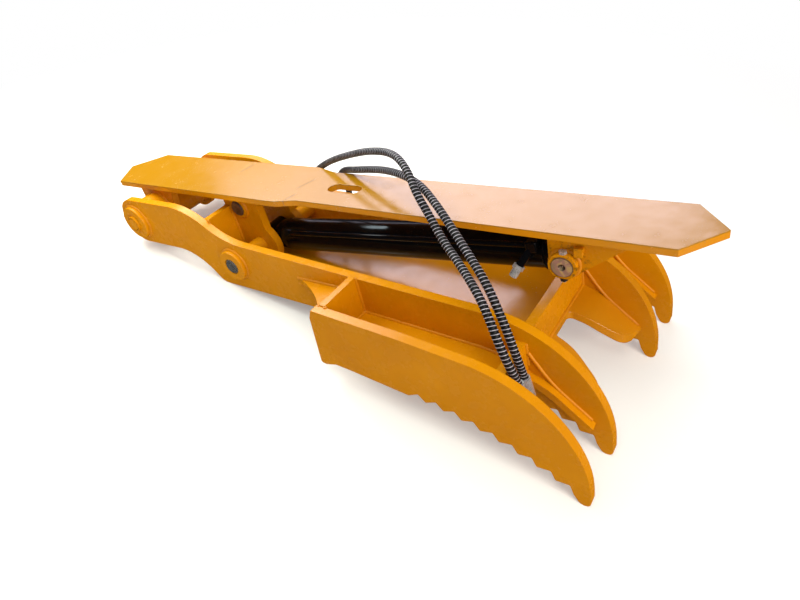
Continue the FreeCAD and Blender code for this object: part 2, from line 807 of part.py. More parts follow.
piston_start = piston_face - piston_length
seal_start = piston_start + (piston_length - seal_width) / 2
cylinder = {
    "barrel_tube": along(tube_radius, tube_start, tube_end, tube_bore_radius),
    "gland": gland(),
    "rod_wiper": gland_ring(gland_face),
    "rod_seal": gland_ring(gland_end - gland_wall - seal_width),
    "base_cap": base_cap(),
    "base_eye_bush": ring((pivot_span, 0), rear_pin_radius + eye_bush_wall, rear_pin_radius + running_fit,
                          -cylinder_eye_half_width, cylinder_eye_half_width),
    "rod_end_port": rod_end_port(),
    "hard_line": hard_line(),
    "port_block": port_block(),
    "port_adapter": port_adapter(),
    "base_port": base_port(),
    "base_adapter": base_adapter(),
    "rod": rod(),
    "piston": piston(),
    "piston_seal": along(tube_bore_radius - running_fit, seal_start, seal_start + seal_width,
                         tube_bore_radius - seal_depth),
    "rod_nut": rod_nut(),
    "rod_eye": rod_eye(),
    "rod_eye_bush": ring((0, 0), link_pin_radius + eye_bush_wall, link_pin_radius + running_fit,
                         -cylinder_eye_half_width, cylinder_eye_half_width),
    "link_pin_centre": cross_rod((0, 0), link_pin_radius, side_clearance - lug_inner_y,
                                 lug_inner_y - side_clearance),
}
onto_pivots = Base.Placement(Base.Vector(link_x, 0, link_z),
                             Base.Rotation(Base.Vector(0, 1, 0), -math.degrees(cylinder_tilt)))
for name, shape in cylinder.items():
    shape.Placement = onto_pivots.multiply(shape.Placement)
    pieces[name] = shape


# Hoses, left loose over the base plate. Points are in the plate frame.

hose_a_route = [(1341, -231, -222), (1339, -236, -190), (1328, -240, -152), (1306, -228, -108),
                (1286, -211, -80), (1262, -191, -60), (1212, -152, -39), (1158, -116, -16), (1122, -92, 17),
                (1088, -74, 52), (1052, -40, 84), (1002, -8, 98), (916, 28, 82), (832, 54, 57), (750, 78, 28),
                (694, 96, 2), (650, 114, -22), (616, 138, -46), (594, 164, -72), (580, 184, -102),
                (571, 190, -137), (552, 194, -168), (525, 197, -191), (492, 200, -205), (456, 204, -209),
                (412, 211, -200), (372, 226, -191), (330, 248, -181)]
hose_b_route = [(1342, -206.5, -232), (1338, -208.5, -202), (1330, -213, -153), (1308, -198, -106),
                (1268, -168, -54), (1223, -136, -28), (1176, -104, 2), (1132, -76, 30), (1076, -38, 49),
                (1018, -10, 52), (952, 16, 46), (886, 38, 32), (826, 58, 17), (772, 86, 0.4), (728, 112, -26),
                (696, 140, -54), (680, 168, -82), (666, 188, -120), (658, 194, -160), (640, 197, -193),
                (612, 200, -217), (577, 204, -229), (538, 209, -227), (492, 218, -218), (448, 234, -208),
                (406, 256, -196)]


def hose_path(points):
    """Straight runs joined by tangent arcs, each arc as large as its two runs allow."""
    places = [Base.Vector(*point) for point in points]
    edges = []
    radii = []
    last = places[0]
    for before, corner, after in zip(places, places[1:], places[2:]):
        towards_before = before - corner
        towards_after = after - corner
        shorter = min(towards_before.Length, towards_after.Length)
        half_turn = (math.pi - towards_before.getAngle(towards_after)) / 2
        reach = 0.45 * shorter
        start = corner + towards_before.normalize() * reach
        end = corner + towards_after.normalize() * reach
        radius = reach / math.tan(half_turn)
        bisector = (towards_before + towards_after).normalize()
        middle = corner + bisector * (radius / math.cos(half_turn) - radius)
        edges.append(Part.LineSegment(last, start).toShape())
        edges.append(Part.Arc(start, middle, end).toShape())
        radii.append(radius)
        last = end
    edges.append(Part.LineSegment(last, places[-1]).toShape())
    return Part.Wire(edges), radii


def hose(points):
    path, radii = hose_path(points)
    section = Part.Wire(Part.makeCircle(hose_radius, Base.Vector(*points[0]),
                                        Base.Vector(*points[1]) - Base.Vector(*points[0])))
    tube = path.makePipeShell([section], True, False, 2)
    expected = math.pi * hose_radius ** 2 * path.Length
    print("hose length", round(path.Length), "least radius", round(min(radii)),
          "volume ratio", round(tube.Volume / expected, 4))
    return tube


def hose_end(end, inward):
    """Crimped ferrule and hexagonal nut on the end of a hose."""
    start = Base.Vector(*end)
    direction = (start - Base.Vector(*inward)).normalize()
    grip = ferrule_length * ferrule_grip_share
    shell_start = start - direction * grip
    shell = Part.makeCylinder(ferrule_radius, ferrule_length, shell_start, direction)
    core = Part.makeCylinder(hose_radius, grip, shell_start, direction)
    nut_start = shell_start + direction * ferrule_length
    nut = hexagon(fitting_across, fitting_length, nut_start, direction)
    seat = Part.makeCylinder(fitting_seat_radius, fitting_seat_depth,
                             nut_start + direction * (fitting_length - fitting_seat_depth), direction)
    return shell.cut(core), nut.cut(seat)


for letter, route in (("a", hose_a_route), ("b", hose_b_route)):
    pieces["hose_" + letter] = hose(route)
    fittings = []
    for end, inward in ((route[0], route[1]), (route[-1], route[-2])):
        ferrule, nut = hose_end(end, inward)
        fittings += [ferrule, nut]
    pieces["hose_" + letter + "_fittings"] = Part.makeCompound(fittings)


# Resting position: belly corner and tine tips touch the ground

def resting_placement():
    """Turn and lift that put the thumb on the ground, with the origin under the middle of the part."""
    belly = corner_arc((throat_x, throat_z), (belly_x, belly_z), (heel_x, -pivot_drop - side_end_radius),
                       corner_radius)[3]
    tip = corner_arc(tip_points()[1], tip_points()[0], (back_x, 0), tip_radius)[3]
    span = tip - belly
    line_tilt = math.atan2(span.z, span.x)
    tilt = line_tilt - math.asin((tip_radius - corner_radius) / span.Length)
    turn = Base.Rotation(Base.Vector(0, 1, 0), math.degrees(tilt))
    turned = Base.Placement(Base.Vector(), turn)
    lift = corner_radius - turn.multVec(belly).z
    ends = []
    for name, shape in pieces.items():
        if name.startswith("hose"):
            continue
        placed = shape.copy()
        placed.Placement = turned.multiply(placed.Placement)
        box = placed.optimalBoundingBox(False)
        ends += [box.XMin, box.XMax]
    return Base.Placement(Base.Vector(-(min(ends) + max(ends)) / 2, 0, lift), turn)


resting = resting_placement()
os.makedirs("parts", exist_ok=True)
for name, shape in pieces.items():
    shape.Placement = resting.multiply(shape.Placement)
    shape.exportStep("parts/" + name + ".step")
for label, pivot in (("main", main_pivot), ("rear", rear_pivot), ("link", link_pivot)):
    place = resting.multVec(Base.Vector(pivot[0], 0, pivot[1]))
    print(label, "pivot", [round(value, 3) for value in place])
print(len(pieces), "pieces, turned", round(math.degrees(resting.Rotation.Angle), 3), "lifted", resting.Base)
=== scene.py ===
import json
import math
import random

import bpy
from mathutils import Matrix, Vector


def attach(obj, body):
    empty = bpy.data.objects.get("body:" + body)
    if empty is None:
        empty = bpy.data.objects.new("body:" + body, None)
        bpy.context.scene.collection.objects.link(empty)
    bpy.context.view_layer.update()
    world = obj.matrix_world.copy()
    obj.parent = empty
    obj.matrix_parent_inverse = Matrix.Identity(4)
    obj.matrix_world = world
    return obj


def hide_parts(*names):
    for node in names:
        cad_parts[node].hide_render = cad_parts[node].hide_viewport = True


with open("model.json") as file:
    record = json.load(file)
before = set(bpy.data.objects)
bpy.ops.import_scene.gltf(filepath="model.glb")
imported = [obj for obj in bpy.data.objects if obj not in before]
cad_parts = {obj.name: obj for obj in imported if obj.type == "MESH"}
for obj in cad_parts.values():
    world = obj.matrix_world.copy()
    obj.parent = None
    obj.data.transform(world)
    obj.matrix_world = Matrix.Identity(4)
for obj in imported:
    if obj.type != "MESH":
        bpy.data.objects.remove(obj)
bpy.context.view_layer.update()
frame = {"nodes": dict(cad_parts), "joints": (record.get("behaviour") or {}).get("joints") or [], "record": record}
random.seed(7)

# The plate frame, in millimetres: X along the base plate, Y to the far side, Z up from its weld face.
# The two main pivots say how it lies in the part's own frame.
PIVOT = (190.0, -78.0)
REAR = (1359.0, -70.0)
LINK = (550.0, -154.0)
LOCK = (520.0, -50.0)
joint_places = {joint["name"]: joint.get("pos_m") for joint in frame["joints"]}
main_place = joint_places["thumb_fold"]
rear_place = joint_places["barrel_swing"]
plate_tilt = (math.atan2(rear_place[2] - main_place[2], rear_place[0] - main_place[0])
              - math.atan2(REAR[1] - PIVOT[1], REAR[0] - PIVOT[0]))
cylinder_slope = math.atan2(REAR[1] - LINK[1], REAR[0] - LINK[0])
TUBE_RADIUS = 40.65

# Widths across the thumb
SIDE_IN, SIDE_OUT = 133.0, 153.0
TINE_IN = 255.0
LUG_OUT = 58.0
EAR_IN, EAR_OUT = 54.0, 72.0
REAR_EAR_IN, REAR_EAR_OUT = 35.0, 51.0


def turned(x, y, z):
    """A direction of the plate frame, in the part's frame."""
    cos, sin = math.cos(plate_tilt), math.sin(plate_tilt)
    return Vector((x * cos - z * sin, y, x * sin + z * cos))


def at(x, y, z):
    """A point of the plate frame in millimetres, in the part's frame in metres."""
    return Vector(main_place) + turned(x - PIVOT[0], y, z - PIVOT[1]) / 1000


def on_cylinder(x, y, z):
    """A point measured along the cylinder from the rod-end pin, in the part's frame in metres."""
    cos, sin = math.cos(cylinder_slope), math.sin(cylinder_slope)
    return at(LINK[0] + x * cos - z * sin, y, LINK[1] + x * sin + z * cos)


# Camera, at the place where the photograph was taken

CAMERA_PLACE = (1692.2, -860.4, 521.7)
CAMERA_AZIMUTH, CAMERA_DROP, CAMERA_ROLL = 42.09, 35.13, -14.58
FOCAL_PIXELS, PICTURE_WIDTH, SENSOR = 580.5, 800, 36.0


def make_camera():
    azimuth, drop, roll = (math.radians(angle) for angle in (CAMERA_AZIMUTH, CAMERA_DROP, CAMERA_ROLL))
    ahead = Vector((-math.sin(azimuth) * math.cos(drop), math.cos(azimuth) * math.cos(drop), -math.sin(drop)))
    level = Vector((math.cos(azimuth), math.sin(azimuth), 0))
    upward = level.cross(ahead)
    across = math.cos(roll) * level + math.sin(roll) * upward
    upward = math.cos(roll) * upward - math.sin(roll) * level
    axes = [turned(*across), turned(*upward), -turned(*ahead)]
    data = bpy.data.cameras.new("camera")
    data.sensor_width = SENSOR
    data.lens = FOCAL_PIXELS / PICTURE_WIDTH * SENSOR
    data.clip_start = 0.05
    camera = bpy.data.objects.new("camera", data)
    bpy.context.scene.collection.objects.link(camera)
    camera.matrix_world = Matrix.Translation(at(*CAMERA_PLACE)) @ Matrix(axes).transposed().to_4x4()
    bpy.context.scene.camera = camera


# Shader building

class Term:
    """A value in a material. Arithmetic with it adds Math nodes."""

    def __init__(self, finish, socket):
        self.finish = finish
        self.socket = socket

    def _with(self, operation, *values):
        return self.finish.node("ShaderNodeMath", dict(enumerate(values)), operation=operation)

    def __abs__(self):
        return self._with("ABSOLUTE", self)

    def __add__(self, other):
        return self._with("ADD", self, other)

    def __sub__(self, other):
        return self._with("SUBTRACT", self, other)

    def __mul__(self, other):
        return self._with("MULTIPLY", self, other)

    def __radd__(self, other):
        return self._with("ADD", other, self)

    def __rsub__(self, other):
        return self._with("SUBTRACT", other, self)

    def __rmul__(self, other):
        return self._with("MULTIPLY", other, self)


class Finish:
    """One material, built around its surface shader."""

    def __init__(self, name):
        self.material = bpy.data.materials.new(name)
        self.material.use_nodes = True
        self.tree = self.material.node_tree
        self.shader = self.tree.nodes["Principled BSDF"]

    def node(self, kind, inputs=None, output=0, stops=None, **settings):
        """Adds a node, sets its settings and stops, then its sockets, and returns one output."""
        made = self.tree.nodes.new(kind)
        for name, value in settings.items():
            setattr(made, name, value)
        if stops:
            ramp = made.color_ramp
            while len(ramp.elements) < len(stops):
                ramp.elements.new(0.5)
            for element, (place, tone) in zip(ramp.elements, stops):
                element.position = place
                element.color = tone
        for name, value in (inputs or {}).items():
            if isinstance(value, Term):
                self.tree.links.new(value.socket, made.inputs[name])
            else:
                made.inputs[name].default_value = value
        return Term(self, made.outputs[output])

    def place(self):
        return self.node("ShaderNodeTexCoord", output="Object")

    def noise(self, scale, detail=2.0, roughness=0.5, stretch=None, distortion=0.0):
        where = self.place()
        if stretch:
            where = self.node("ShaderNodeMapping", {"Vector": where, "Scale": stretch})
        inputs = {"Vector": where, "Scale": scale, "Detail": detail, "Roughness": roughness,
                  "Distortion": distortion}
        return self.node("ShaderNodeTexNoise", inputs, output="Fac")

    def spread(self, value, low, high, to_low=0.0, to_high=1.0):
        """Stretches a span of a value to another span, and holds it there."""
        return self.node("ShaderNodeMapRange", {"Value": value, "From Min": low, "From Max": high,
                                                "To Min": to_low, "To Max": to_high})

    def mix(self, share, first, second):
        return self.node("ShaderNodeMix", {"Factor": share, 6: first, 7: second}, output=2, data_type="RGBA")

    def set(self, **sockets):
        for name, value in sockets.items():
            socket = self.shader.inputs[name.replace("_", " ")]
            if isinstance(value, Term):
                self.tree.links.new(value.socket, socket)
            else:
                socket.default_value = value
        return self

    def bump(self, height, strength, distance, over=None):
        inputs = {"Height": height, "Strength": strength, "Distance": distance}
        if over:
            inputs["Normal"] = over
        return self.node("ShaderNodeBump", inputs)


def colour(red, green, blue):
    """A display colour from 0 to 255, as linear light."""
    return tuple(((part / 255 + 0.055) / 1.055) ** 2.4 if part > 10 else part / 255 / 12.92
                 for part in (red, green, blue)) + (1.0,)


# Finishes, with lengths in metres

EDGE_ROUND = 0.0016
SHARP_ANGLE = math.radians(30)
SCORE_DARK = colour(60, 34, 10)
SCORE_HALF_WIDTH = 0.0017
SCORE_STARTS = (-0.004, 0.004)
SCORE_TAIL = 0.01
SPECK_DARK = colour(92, 62, 22)
GREASE_DARK = colour(74, 48, 18)
# Painted shade for the zinc pin's centre hole and the gap round its rim
PIN_RECESS_SHADE = colour(58, 40, 30)

# Each span runs from where a mark starts to where it is full. The painted shade on the plate's top is by
# height; the grease and the painted shade in the zinc pin's centre hole and round its rim are by distance
# from the rear pin's axis.
TOP_SHADE_SPAN = (-0.003, -0.001)
GREASE_REACH = (0.066, 0.030)
PIN_HOLE_SHADE_SPAN = (0.0072, 0.0066)
PIN_GAP_SHADE_SPAN = (0.0182, 0.0192)

# The rod pin's paint ends this far past the side plates
PIN_PAINT_PAST = 0.002


def measured(finish, way, origin):
    """Distance from a point along a direction."""
    inputs = {0: finish.place(), 1: tuple(way)}
    reach = finish.node("ShaderNodeVectorMath", inputs, output="Value", operation="DOT_PRODUCT")
    return reach - origin.dot(way)


def from_pivot(finish, pivot):
    """Distance from a pivot's axis, which runs across the thumb."""
    way = finish.node("ShaderNodeVectorMath", {0: finish.place(), 1: tuple(pivot)}, output="Vector",
                      operation="SUBTRACT")
    way = finish.node("ShaderNodeVectorMath", {0: way, 1: (1, 0, 1)}, output="Vector", operation="MULTIPLY")
    return finish.node("ShaderNodeVectorMath", {0: way}, output="Value", operation="LENGTH")


def score_line(finish, start, end):
    """Share of a straight score between two points of the base plate's top."""
    first, last = at(*start, 0), at(*end, 0)
    length_way = (last - first).normalized()
    length = (last - first).length
    run = measured(finish, length_way, first)
    ends = finish.spread(run, *SCORE_STARTS) * finish.spread(run, length, length - SCORE_TAIL)
    aside = abs(measured(finish, length_way.cross(turned(0, 0, 1)), first))
    return finish.spread(aside, SCORE_HALF_WIDTH, SCORE_HALF_WIDTH * 0.4) * ends


def paint(name, base, deep, dusty, roughness, wear=0.0, shine=0.25, edge=EDGE_ROUND, scores=(),
          tint=(1, 1, 1, 1), top=None, greasy=None):
    """Sprayed gloss paint: softened edges, a faint orange peel, uneven colour, dust, specks and scratches.

    The plate's top may take a darker tone of painted shade, standing against the stronger light on it; a pivot
    may be greasy, and scores run between pairs of points.
    """
    finish = Finish(name)
    patches = finish.spread(finish.noise(5.0, 4.0, 0.6), 0.35, 0.7)
    shade = finish.mix(patches, base, deep)
    # Painted shade: a darker tone on the top face, where the light falls strongest.
    if top:
        height = measured(finish, turned(0, 0, 1), at(0, 0, 0))
        shade = finish.mix(finish.spread(height, *TOP_SHADE_SPAN), shade, top)
    dust = finish.spread(finish.noise(22.0, 6.0, 0.7), 0.52, 0.78, 0.0, 0.10)
    shade = finish.mix(dust, shade, dusty)

    worn_places = finish.spread(finish.noise(11.0, 3.0, 0.6), 0.50, 0.64)
    specks = finish.spread(finish.noise(260.0, 3.0, 0.6), 0.64, 0.70) * worn_places * (0.2 + 0.6 * wear)
    shade = finish.mix(specks, shade, SPECK_DARK)
    along = finish.spread(finish.noise(70.0, 2.0, 0.5, stretch=(0.10, 2.4, 1.0)), 0.70, 0.73)
    aslant = finish.spread(finish.noise(46.0, 2.0, 0.5, stretch=(1.6, 0.14, 1.0), distortion=0.4), 0.70, 0.72)
    scratches = (along + aslant) * worn_places * (0.2 * wear)
    shade = finish.mix(scratches, shade, dusty)

    if greasy:
        smear = finish.spread(finish.noise(130.0, 5.0, 0.75), 0.50, 0.62)
        smear = smear * finish.spread(from_pivot(finish, greasy), *GREASE_REACH) * 0.7
        shade = finish.mix(smear, shade, GREASE_DARK)
    scored = sum(score_line(finish, start, end) for start, end in scores)
    if scores:
        shade = finish.mix(scored * 0.8, shade, SCORE_DARK)

    relief = finish.node("ShaderNodeBevel", {"Radius": edge}, samples=4)
    relief = finish.bump(finish.noise(60.0, 2.0, 0.5), 0.10, 0.0014, relief)
    relief = finish.bump(finish.noise(520.0, 1.0, 0.4), 0.04, 0.0006, relief)
    gloss = finish.spread(finish.noise(30.0, 5.0, 0.65), 0.3, 0.75, roughness, roughness + 0.14)
    finish.set(Base_Color=shade, Roughness=gloss + specks * 0.4 + scratches * 0.2 + scored * 0.6,
               Normal=relief, Specular_IOR_Level=shine, Specular_Tint=tint)
    return finish.material


def bare_metal(name, light, dark, roughness, grain=300.0, mirror=0.6):
    finish = Finish(name)
    tone = finish.spread(finish.noise(40.0, 6.0, 0.7), 0.3, 0.7)
    fine = finish.noise(grain, 3.0, 0.6)
    finish.set(Base_Color=finish.mix(tone, light, dark), Metallic=mirror,
               Roughness=finish.spread(fine, 0.3, 0.7, roughness, roughness + 0.18),
               Normal=finish.bump(fine, 0.12, 0.0003))
    return finish.material


def yellow_zinc(name):
    """Passivated zinc plate, with the rainbow film of a fresh pin, and painted shade in its centre hole and in the
    gap round its rim.
    """
    finish = Finish(name)
    film = finish.noise(38.0, 3.0, 0.6, distortion=1.2)
    stops = [(0.25, colour(176, 146, 84)), (0.42, colour(206, 184, 130)), (0.55, colour(178, 140, 132)),
             (0.7, colour(150, 148, 110))]
    shade = finish.node("ShaderNodeValToRGB", {"Fac": film}, stops=stops)
    # Painted shade: dark in the pin's centre hole and in the gap round its rim, where it sits in its collar.
    reach = from_pivot(finish, rear_place)
    recess_shade = finish.spread(reach, *PIN_HOLE_SHADE_SPAN) + finish.spread(reach, *PIN_GAP_SHADE_SPAN)
    shade = finish.mix(recess_shade * 0.75, shade, PIN_RECESS_SHADE)
    fine = finish.noise(700.0, 2.0, 0.5)
    finish.set(Base_Color=shade, Metallic=0.5, Roughness=finish.spread(fine, 0.3, 0.7, 0.3, 0.46),
               Normal=finish.bump(fine, 0.1, 0.0003))
    return finish.material


def half_painted(name, paint_tone, metal_tone, bare_from):
    """Pin sprayed with the thumb: paint in the middle, bare steel beyond a distance from it."""
    finish = Finish(name)
    across = finish.node("ShaderNodeSeparateXYZ", {"Vector": finish.place()}, output="Y")
    bare = finish.spread(abs(across), bare_from - 0.001, bare_from + 0.001)
    fine = finish.noise(300.0, 3.0, 0.6)
    finish.set(Base_Color=finish.mix(bare, paint_tone, metal_tone), Metallic=bare * 0.9,
               Roughness=finish.spread(fine, 0.3, 0.7, 0.18, 0.3), Normal=finish.bump(fine, 0.12, 0.0003))
    return finish.material


def moulded(name, light, dark, roughness):
    finish = Finish(name)
    tone = finish.noise(60.0, 4.0, 0.6)
    fine = finish.noise(900.0, 2.0, 0.5)
    finish.set(Base_Color=finish.mix(tone, light, dark), Normal=finish.bump(fine, 0.15, 0.0002),
               Roughness=finish.spread(tone, 0.3, 0.7, roughness, roughness + 0.15))
    return finish.material


def hose_guard(name):
    """Spiral guard of a hose. Its UV map counts turns of the rib along the hose. The pale crests are partly
    the guard's own grey and partly a painted highlight.
    """
    finish = Finish(name)
    uv = finish.node("ShaderNodeTexCoord", output="UV")
    along = finish.node("ShaderNodeSeparateXYZ", {"Vector": uv}, output="Y")
    rib = finish.node("ShaderNodeMath", {0: along}, operation="FRACT")
    # Pale, lavender-tinted crests: partly the guard's own grey, partly a painted highlight of the lamps.
    crest_and_highlight = finish.spread(rib, 0.40, 0.47) * finish.spread(rib, 0.62, 0.55)
    scuff = finish.spread(finish.noise(70.0, 5.0, 0.7), 0.35, 0.7)
    rib_tone_and_highlight = finish.mix(scuff, colour(216, 210, 224), colour(118, 114, 124))
    fine = finish.noise(800.0, 2.0, 0.5)
    finish.set(Base_Color=finish.mix(crest_and_highlight, colour(7, 7, 11), rib_tone_and_highlight), Specular_IOR_Level=0.3,
               Roughness=finish.spread(crest_and_highlight, 0.0, 1.0, 0.5, 0.38), Normal=finish.bump(fine, 0.2, 0.0003))
    return finish.material


# Ends of the scores on the base plate's top, in the plate frame
PLATE_SCORES = (((459, 26), (466, 83)), ((717, -79), (728, -39)), ((709, -18), (726, 32)))

ORANGE = paint("orange_paint", base=colour(206, 134, 2), deep=colour(196, 124, 1), dusty=colour(220, 158, 14),
               roughness=0.20, wear=0.2, shine=0.26, greasy=rear_place)
DECK_ORANGE = paint("deck_orange_paint", base=colour(204, 134, 2), deep=colour(195, 124, 1),
                    dusty=colour(220, 158, 20), roughness=0.14, wear=0.4, shine=1.0)
# The plate's top tone is painted shade, darker than the paint of its edges because the top is lit more.
PLATE_ORANGE = paint("plate_orange_paint", base=colour(206, 134, 2), deep=colour(196, 124, 1),
                     dusty=colour(196, 160, 96), roughness=0.16, wear=0.8, shine=1.0, scores=PLATE_SCORES,
                     top=colour(165, 114, 3))
WELD_ORANGE = paint("weld_paint", base=colour(208, 133, 2), deep=colour(196, 120, 1),
                    dusty=colour(214, 150, 12), roughness=0.40, shine=0.3)
BLACK = paint("black_paint", base=colour(8, 8, 10), deep=colour(12, 12, 14), dusty=colour(50, 47, 45),
              roughness=0.12, wear=0.1, shine=0.22, edge=0.001, tint=(0.5, 0.72, 1.0, 1.0))
STEEL_TONE = colour(206, 204, 202)
STEEL = bare_metal("machined_steel", light=STEEL_TONE, dark=colour(164, 162, 162), roughness=0.26)
BRIGHT_ZINC = bare_metal("bright_zinc", light=colour(214, 214, 216), dark=colour(160, 160, 166),
                         roughness=0.22, grain=500.0)
YELLOW_ZINC = yellow_zinc("yellow_zinc")
CHROME = bare_metal("chromed_rod", light=colour(226, 228, 232), dark=colour(206, 208, 214), roughness=0.06,
                    grain=900.0, mirror=0.8)
PAINTED_PIN = half_painted("painted_pin", paint_tone=colour(206, 135, 2), metal_tone=STEEL_TONE,
                           bare_from=SIDE_OUT / 1000 + PIN_PAINT_PAST)
DARK_STEEL = bare_metal("blackened_steel", light=colour(52, 48, 46), dark=colour(30, 28, 28), roughness=0.4)
# Darker, brown-grey steel, for the lock plugs.
DARK_BROWN_STEEL = bare_metal("dark_brown_steel", light=colour(124, 110, 98), dark=colour(66, 54, 46), roughness=0.3,
                         grain=160.0, mirror=0.7)
BRONZE = bare_metal("bush_bronze", light=colour(196, 150, 84), dark=colour(150, 108, 60), roughness=0.3)
SEAL = moulded("seal_rubber", light=colour(40, 40, 46), dark=colour(24, 24, 28), roughness=0.5)
GUARD = hose_guard("hose_guard")

FINISHES = {"orange_paint": ORANGE, "black_paint": BLACK, "bare_steel": STEEL, "zinc_yellow": YELLOW_ZINC,
            "bright_zinc": BRIGHT_ZINC, "chrome_rod": CHROME, "bronze": BRONZE, "hose_rubber": GUARD,
            "seal": SEAL}


def give(piece, material):
    piece.data.materials.clear()
    piece.data.materials.append(material)


def only(piece):
    """Makes one object the selected and active one."""
    bpy.ops.object.select_all(action="DESELECT")
    piece.select_set(True)
    bpy.context.view_layer.objects.active = piece


def finish_nodes():
    """Gives each node the finish of its slot, or its own."""
    slots = {part["node"]: part["material_slot"] for part in frame["record"]["subparts"]}
    for name, node in frame["nodes"].items():
        give(node, FINISHES[slots[name]])
        only(node)
        bpy.ops.object.shade_smooth_by_angle(angle=SHARP_ANGLE)
    own_finishes = {"base_plate": PLATE_ORANGE, "deck_plate": DECK_ORANGE, "link_pin_near": PAINTED_PIN,
                    "link_pin_far": PAINTED_PIN, "keeper_nut": DARK_STEEL, "lock_plugs": DARK_BROWN_STEEL}
    for name, material in own_finishes.items():
        give(frame["nodes"][name], material)


# Hoses, in millimetres, with routes in the plate frame

HOSE_RADIUS = 8.0
RIB_PITCH = 7.3
RIB_RISE = 0.9
RIB_SHARPNESS = 0.6
HOSE_SIDES = 14
STEPS_PER_RIB = 6
HOSE_A_ROUTE = [(1341, -231, -222), (1339, -236, -190), (1328, -240, -152), (1306, -228, -108),
                (1286, -211, -80), (1262, -191, -60), (1212, -152, -39), (1158, -116, -16), (1122, -92, 17),
                (1088, -74, 52), (1052, -40, 84), (1002, -8, 98), (916, 28, 82), (832, 54, 57), (750, 78, 28),
                (694, 96, 2), (650, 114, -22), (616, 138, -46), (594, 164, -72), (580, 184, -102),
                (571, 190, -137), (552, 194, -168), (525, 197, -191), (492, 200, -205), (456, 204, -209),
                (412, 211, -200), (372, 226, -191), (330, 248, -181)]
HOSE_B_ROUTE = [(1342, -206.5, -232), (1338, -208.5, -202), (1330, -213, -153), (1308, -198, -106),
                (1268, -168, -54), (1223, -136, -28), (1176, -104, 2), (1132, -76, 30), (1076, -38, 49),
                (1018, -10, 52), (952, 16, 46), (886, 38, 32), (826, 58, 17), (772, 86, 0.4), (728, 112, -26),
                (696, 140, -54), (680, 168, -82), (666, 188, -120), (658, 194, -160), (640, 197, -193),
                (612, 200, -217), (577, 204, -229), (538, 209, -227), (492, 218, -218), (448, 234, -208),
                (406, 256, -196)]


def route_line(route):
    """Points along the smooth line that the route's points control."""
    curve = bpy.data.curves.new("route", "CURVE")
    curve.dimensions = "3D"
    curve.resolution_u = 48
    spline = curve.splines.new("NURBS")
    spline.points.add(len(route) - 1)
    for point, place in zip(spline.points, route):
        point.co = (*at(*place), 1)
    spline.order_u = 3
    spline.use_endpoint_u = True
    holder = bpy.data.objects.new("route", curve)
    bpy.context.scene.collection.objects.link(holder)
    bpy.context.view_layer.update()
    mesh = bpy.data.meshes.new_from_object(holder)
    line = [vertex.co.copy() for vertex in mesh.vertices]
    bpy.data.objects.remove(holder)
    return line


def evenly(line, step):
    """The same line with its points an even step apart."""
    lengths = [0.0]
    for before, after in zip(line, line[1:]):
        lengths.append(lengths[-1] + (after - before).length)
    count = round(lengths[-1] / step)
    spaced = []
    index = 0
    for number in range(count + 1):
        wanted = lengths[-1] * number / count
        while index < len(line) - 2 and lengths[index + 1] < wanted:
            index += 1
        span = lengths[index + 1] - lengths[index]
        spaced.append(line[index].lerp(line[index + 1], (wanted - lengths[index]) / span))
    return spaced, lengths[-1]


def hose(name, route):
    """Hose in its ribbed guard: rings along the line, swelling once in every turn of the rib."""
    line, length = evenly(route_line(route), RIB_PITCH / STEPS_PER_RIB / 1000)
    verts = []
    faces = []
    counts = []
    side_way = Vector((0, 1, 0))
    for index, place in enumerate(line):
        ahead = (line[min(index + 1, len(line) - 1)] - line[max(index - 1, 0)]).normalized()
        side_way = (side_way - ahead * side_way.dot(ahead)).normalized()
        lift_way = ahead.cross(side_way)
        for side in range(HOSE_SIDES):
            turn = side / HOSE_SIDES
            phase = index / STEPS_PER_RIB + turn
            rise = RIB_RISE * (0.5 - 0.5 * math.cos(math.tau * phase)) ** RIB_SHARPNESS
            radius = (HOSE_RADIUS - RIB_RISE + rise) / 1000
            angle = math.tau * turn
            verts.append(place + side_way * radius * math.cos(angle) + lift_way * radius * math.sin(angle))
            counts.append(phase)
    for index in range(len(line) - 1):
        for side in range(HOSE_SIDES):
            beside = (side + 1) % HOSE_SIDES
            faces.append((index * HOSE_SIDES + side, index * HOSE_SIDES + beside,
                          (index + 1) * HOSE_SIDES + beside, (index + 1) * HOSE_SIDES + side))
    faces.append(tuple(range(HOSE_SIDES))[::-1])
    faces.append(tuple((len(line) - 1) * HOSE_SIDES + side for side in range(HOSE_SIDES)))
    mesh = bpy.data.meshes.new(name)
    mesh.from_pydata(verts, [], faces)
    layer = mesh.uv_layers.new(name="turns")
    for polygon in mesh.polygons:
        last_side = len(polygon.vertices) == 4 and polygon.vertices[1] % HOSE_SIDES == 0
        for loop in polygon.loop_indices:
            vertex = mesh.loops[loop].vertex_index
            wrap = 1.0 if last_side and vertex % HOSE_SIDES == 0 else 0.0
            layer.data[loop].uv = (vertex % HOSE_SIDES / HOSE_SIDES + wrap, counts[vertex] + wrap)
    piece = bpy.data.objects.new(name, mesh)
    bpy.context.scene.collection.objects.link(piece)
    give(piece, GUARD)
    only(piece)
    bpy.ops.object.shade_smooth()
    return piece, line[::STEPS_PER_RIB] + [line[-1]], length


def make_hoses():
    for letter, route in (("a", HOSE_A_ROUTE), ("b", HOSE_B_ROUTE)):
        piece, path, length = hose("guarded_hose_" + letter, route)
        print("hose", letter, "length", round(length, 3))
        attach(piece, "root")
        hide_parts("hose_" + letter)
        at(*route[0])


# Weld beads, in millimetres

BEAD_RADIUS = 4.2
BEAD_STEP = 3.2
RIPPLE = (0.88, 1.06)
RIPPLE_SPREAD = 0.06
BEND_SMOOTHING = 9
TUBE_BEAD_RADIUS = 3.4
TUBE_BEAD_SINK = 1.0

